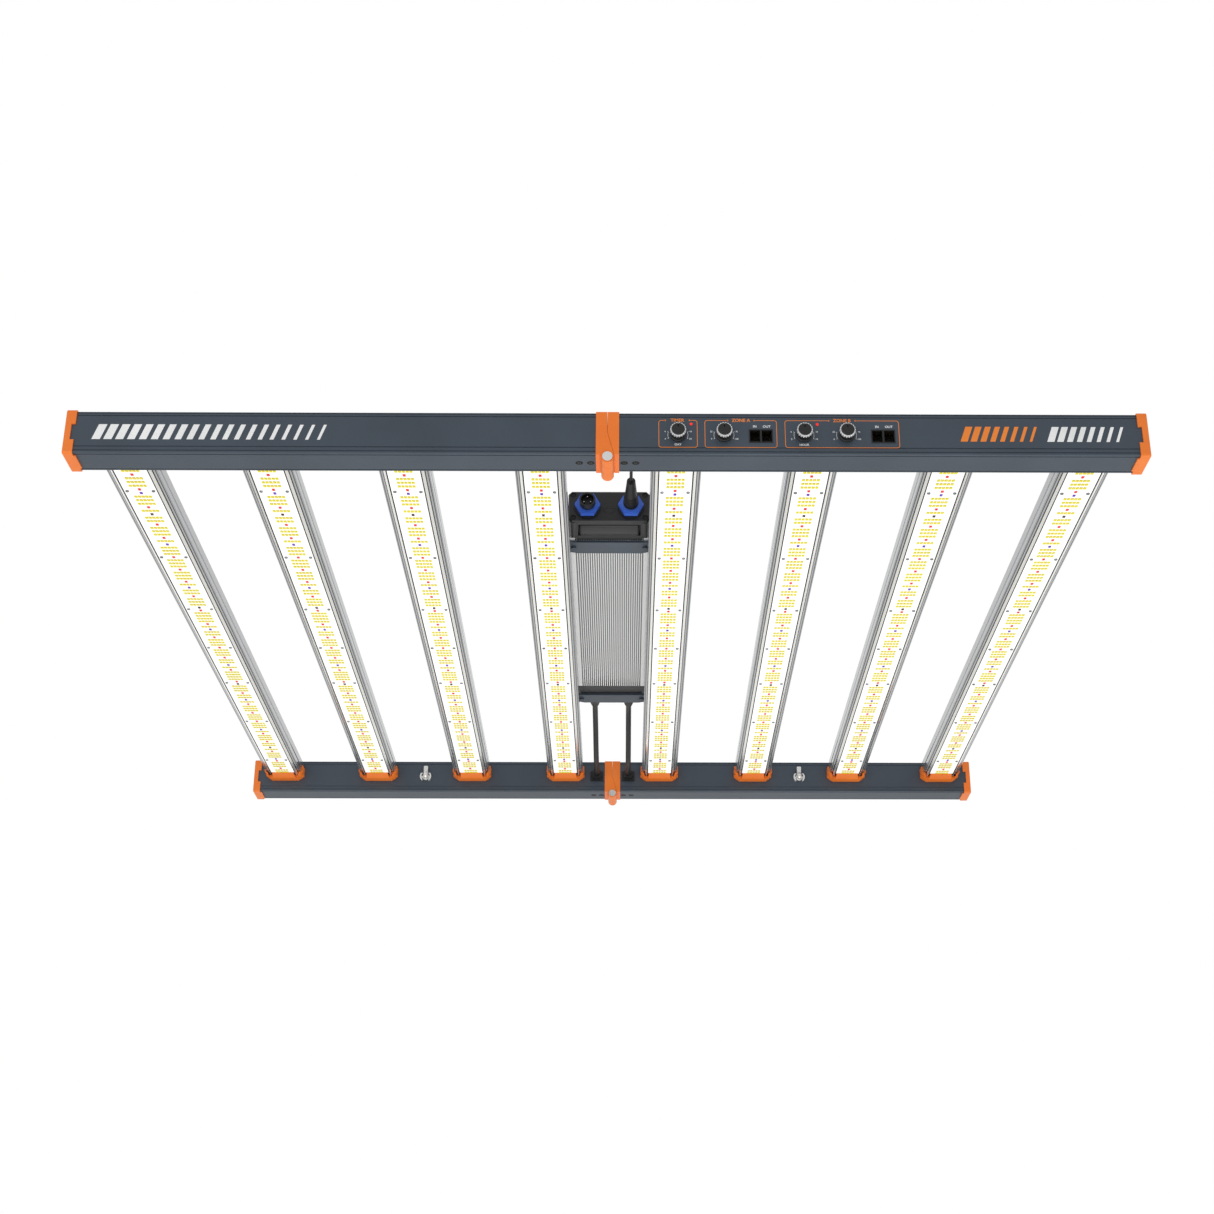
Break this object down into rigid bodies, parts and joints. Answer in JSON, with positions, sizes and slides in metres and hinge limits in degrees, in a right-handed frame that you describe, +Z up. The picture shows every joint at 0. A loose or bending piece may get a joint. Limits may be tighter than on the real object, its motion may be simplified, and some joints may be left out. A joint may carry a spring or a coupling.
{
  "type": "led grow light",
  "caption": "Folding horticultural LED light: hinged cross rails carry long LED bars, with a finned driver on straps above and dimming knobs and data jacks on the front rail.",
  "frame": {"origin": "under the middle of the overall box, level with the lowest point of the hinge knuckles", "axes": "+X along the rails to the right, +Y away from the control rail, +Z up; the LEDs face down"},
  "size_m": [1.1, 1.1358, 0.0944],
  "materials": {
    "rail_coating": "satin anodised slate grey",
    "orange_plastic": "semi-gloss moulded",
    "bright_steel": "polished",
    "black_steel": "black oxide",
    "bare_aluminium": "clear anodised",
    "white_board": "white solder mask",
    "black_plastic": "fine matt texture",
    "blue_plastic": "moulded",
    "black_rubber": "matt",
    "red_lens": "clear red",
    "green_board": "solder mask"
  },
  "bodies": {
    "right_half": {"bar_5": "bare_aluminium", "bar_6": "bare_aluminium", "bar_7": "bare_aluminium", "bar_8": "bare_aluminium", "bar_clips_right": "orange_plastic", "bar_screws_right": "bright_steel", "board_screws_right": "bright_steel", "connector_nuts": "blue_plastic", "control_board": "green_board", "control_cable": "black_rubber", "control_plug": "black_plastic", "data_jacks": "black_plastic", "driver_board": "green_board", "driver_front_cap": "black_plastic", "driver_housing": "bare_aluminium", "driver_rear_cap": "black_plastic", "driver_screws": "black_steel", "driver_straps": "rail_coating", "end_caps_right": "orange_plastic", "front_hinge_leaf_right": "orange_plastic", "front_rail_right": "rail_coating", "hanger_studs_right": "bright_steel", "hinge_pins": "bright_steel", "hinge_screws_right": "black_steel", "indicators": "red_lens", "led_boards_right": "white_board", "mains_inlet": "black_plastic", "output_cable_left": "black_rubber", "output_cable_right": "black_rubber", "output_glands": "black_rubber", "output_socket_right": "black_plastic", "potentiometers": "bright_steel", "rail_harness_right": "black_rubber", "rear_hinge_leaf_right": "orange_plastic", "rear_rail_right": "rail_coating"},
    "left_half": {"bar_clips_left": "orange_plastic", "bar_screws_left": "bright_steel", "board_screws_left": "bright_steel", "end_caps_left": "orange_plastic", "front_hinge_leaf_left": "orange_plastic", "front_rail_left": "rail_coating", "hanger_studs_left": "bright_steel", "hinge_screws_left": "black_steel", "led_boards_left": "white_board", "output_socket_left": "black_plastic", "rail_harness_left": "black_rubber", "rear_hinge_leaf_left": "orange_plastic", "rear_rail_left": "rail_coating", "bar_1": "bare_aluminium", "bar_2": "bare_aluminium", "bar_3": "bare_aluminium", "bar_4": "bare_aluminium"},
    "timer_knob": {"timer_knob": "black_plastic"},
    "zone_a_dimmer_knob": {"zone_a_dimmer_knob": "black_plastic"},
    "zone_b_timer_knob": {"zone_b_timer_knob": "black_plastic"},
    "zone_b_dimmer_knob": {"zone_b_dimmer_knob": "black_plastic"},
    "front_hanger_clip_left": {"front_hanger_clip_left": "bright_steel"},
    "front_hanger_clip_right": {"front_hanger_clip_right": "bright_steel"},
    "rear_hanger_clip_left": {"rear_hanger_clip_left": "bright_steel"},
    "rear_hanger_clip_right": {"rear_hanger_clip_right": "bright_steel"}
  },
  "joints": [
    {"name": "fold", "type": "hinge", "parent": "right_half", "child": "left_half", "pos_m": [0, 0, 0.0065], "axis": [0, -1, 0], "range_deg": [0, 180], "deforming": ["output_cable_left"]},
    {"name": "timer_knob_turn", "type": "hinge", "parent": "right_half", "child": "timer_knob", "pos_m": [0.0714, -0.5544, 0.0321], "axis": [0, 1, 0], "range_deg": [-150, 150]},
    {"name": "zone_a_dimmer_knob_turn", "type": "hinge", "parent": "right_half", "child": "zone_a_dimmer_knob", "pos_m": [0.1182, -0.5544, 0.0321], "axis": [0, 1, 0], "range_deg": [-150, 150]},
    {"name": "zone_b_timer_knob_turn", "type": "hinge", "parent": "right_half", "child": "zone_b_timer_knob", "pos_m": [0.1994, -0.5544, 0.0321], "axis": [0, 1, 0], "range_deg": [-150, 150]},
    {"name": "zone_b_dimmer_knob_turn", "type": "hinge", "parent": "right_half", "child": "zone_b_dimmer_knob", "pos_m": [0.2426, -0.5544, 0.0321], "axis": [0, 1, 0], "range_deg": [-150, 150]},
    {"name": "front_hanger_clip_left_swing", "type": "hinge", "parent": "left_half", "child": "front_hanger_clip_left", "pos_m": [-0.2866, -0.5142, 0.032], "axis": [0, 1, 0], "continuous": true},
    {"name": "front_hanger_clip_right_swing", "type": "hinge", "parent": "right_half", "child": "front_hanger_clip_right", "pos_m": [0.2866, -0.5142, 0.032], "axis": [0, 1, 0], "continuous": true},
    {"name": "rear_hanger_clip_left_swing", "type": "hinge", "parent": "left_half", "child": "rear_hanger_clip_left", "pos_m": [-0.2866, 0.5252, 0.032], "axis": [0, 1, 0], "continuous": true},
    {"name": "rear_hanger_clip_right_swing", "type": "hinge", "parent": "right_half", "child": "rear_hanger_clip_right", "pos_m": [0.2866, 0.5252, 0.032], "axis": [0, 1, 0], "continuous": true}
  ]
}
